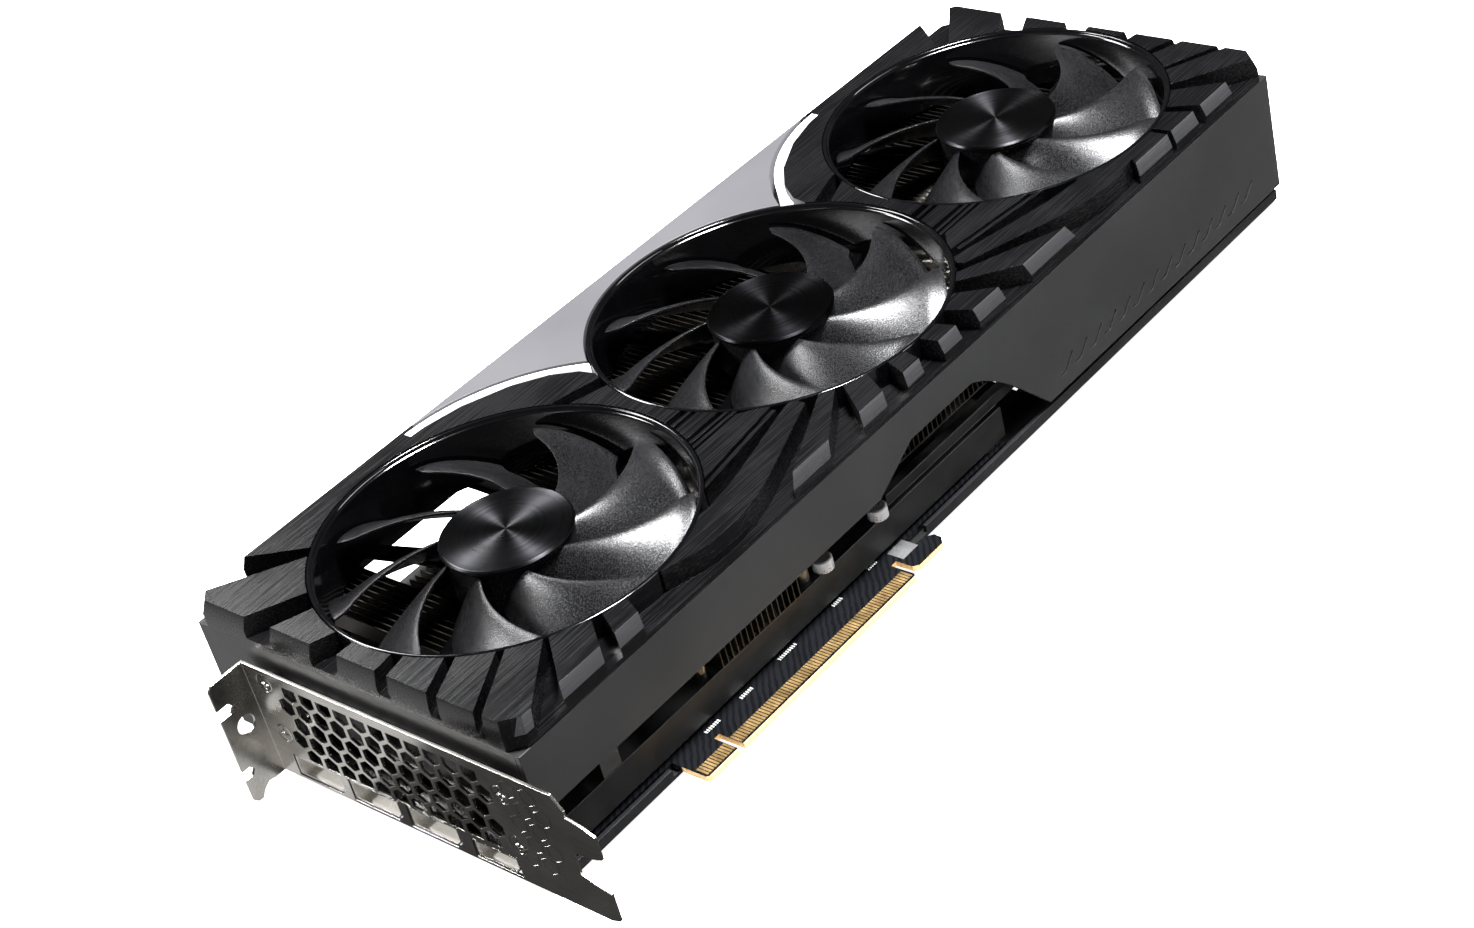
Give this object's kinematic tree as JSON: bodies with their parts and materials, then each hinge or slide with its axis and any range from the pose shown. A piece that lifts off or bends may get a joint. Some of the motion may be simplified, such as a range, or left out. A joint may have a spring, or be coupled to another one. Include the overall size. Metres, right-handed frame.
{
  "type": "graphics card",
  "caption": "Desktop graphics card with a slot bracket, edge connector, finned cooler, spinning axial fans in a ribbed fascia, and a vented backplate.",
  "frame": {"origin": "on the slot bracket's outer face, level with the edge connector's contact edge and the board's component face", "axes": "+X from the bracket to the far end, +Y from the edge connector to the top edge, +Z from the board out through the fans"},
  "size_m": [0.3407, 0.1382, 0.0517],
  "materials": {
    "fascia_plastic": "brushed-look moulded",
    "skirt_plastic": "fine matte moulded",
    "panel_paint": "satin",
    "light_diffuser": "milky",
    "led_board": "solder mask",
    "board_mask": "solder mask",
    "contact_gold": "plated",
    "package_laminate": "laminate",
    "die_silicon": "polished",
    "chip_epoxy": "moulded epoxy",
    "choke_ferrite": "pressed powder",
    "can_aluminium": "drawn can",
    "pad_silicone": "soft pad",
    "header_nylon": "moulded",
    "pin_gold": "plated",
    "socket_steel": "plated",
    "tongue_nylon": "moulded",
    "bracket_nickel": "satin nickel",
    "screw_nickel": "plated",
    "screw_black": "black oxide",
    "backplate_paint": "satin black",
    "frame_paint": "satin black",
    "copper_plate": "nickel-free copper, milled",
    "pipe_nickel": "nickel plated",
    "fin_aluminium": "rolled sheet",
    "standoff_nickel": "turned",
    "ring_gloss": "polished moulding",
    "blade_plastic": "satin moulded",
    "cap_metal": "spun",
    "cap_gloss": "polished",
    "magnet_ferrite": "bonded ferrite",
    "shaft_steel": "ground",
    "winding_copper": "enamelled windings"
  },
  "bodies": {
    "card": {"accent_panel": "panel_paint", "backplate": "backplate_paint", "backplate_screws": "screw_black", "bracket": "bracket_nickel", "bracket_screws": "screw_nickel", "bracket_stay": "bracket_nickel", "capacitors": "can_aluminium", "chokes": "choke_ferrite", "cold_plate": "copper_plate", "cooler_frame": "frame_paint", "displayport_1": "socket_steel", "displayport_2": "socket_steel", "displayport_3": "socket_steel", "displayport_tongues": "tongue_nylon", "edge_contacts": "contact_gold", "end_wall_far": "skirt_plastic", "end_wall_near": "skirt_plastic", "fan_frame_1": "ring_gloss", "fan_frame_2": "ring_gloss", "fan_frame_3": "ring_gloss", "fan_screws": "screw_black", "fan_stator_1": "winding_copper", "fan_stator_2": "winding_copper", "fan_stator_3": "winding_copper", "fascia": "fascia_plastic", "fin_stack_far": "fin_aluminium", "fin_stack_main": "fin_aluminium", "fin_standoffs": "standoff_nickel", "gpu_die": "die_silicon", "gpu_package": "package_laminate", "gpu_screws": "screw_black", "hdmi": "socket_steel", "hdmi_tongue": "tongue_nylon", "heat_pipes": "pipe_nickel", "led_boards": "led_board", "light_strip_far": "light_diffuser", "light_strip_near": "light_diffuser", "memory_chips": "chip_epoxy", "pcb": "board_mask", "power_header": "header_nylon", "power_pins": "pin_gold", "power_stages": "chip_epoxy", "skirt_lower": "skirt_plastic", "skirt_upper": "skirt_plastic", "thermal_pads": "pad_silicone"},
    "fan_1": {"fan_rotor_1": "blade_plastic", "hub_cap_1": "cap_metal", "magnet_ring_1": "magnet_ferrite", "fan_shaft_1": "shaft_steel"},
    "fan_2": {"fan_rotor_2": "blade_plastic", "hub_cap_2": "cap_gloss", "magnet_ring_2": "magnet_ferrite", "fan_shaft_2": "shaft_steel"},
    "fan_3": {"fan_rotor_3": "blade_plastic", "hub_cap_3": "cap_metal", "magnet_ring_3": "magnet_ferrite", "fan_shaft_3": "shaft_steel"}
  },
  "joints": [
    {"name": "fan_1_spin", "type": "hinge", "parent": "card", "child": "fan_1", "pos_m": [0.0608, 0.0683, 0.036], "axis": [0, 0, 1], "continuous": true},
    {"name": "fan_2_spin", "type": "hinge", "parent": "card", "child": "fan_2", "pos_m": [0.1676, 0.0683, 0.036], "axis": [0, 0, 1], "continuous": true},
    {"name": "fan_3_spin", "type": "hinge", "parent": "card", "child": "fan_3", "pos_m": [0.2744, 0.0683, 0.036], "axis": [0, 0, 1], "continuous": true}
  ]
}
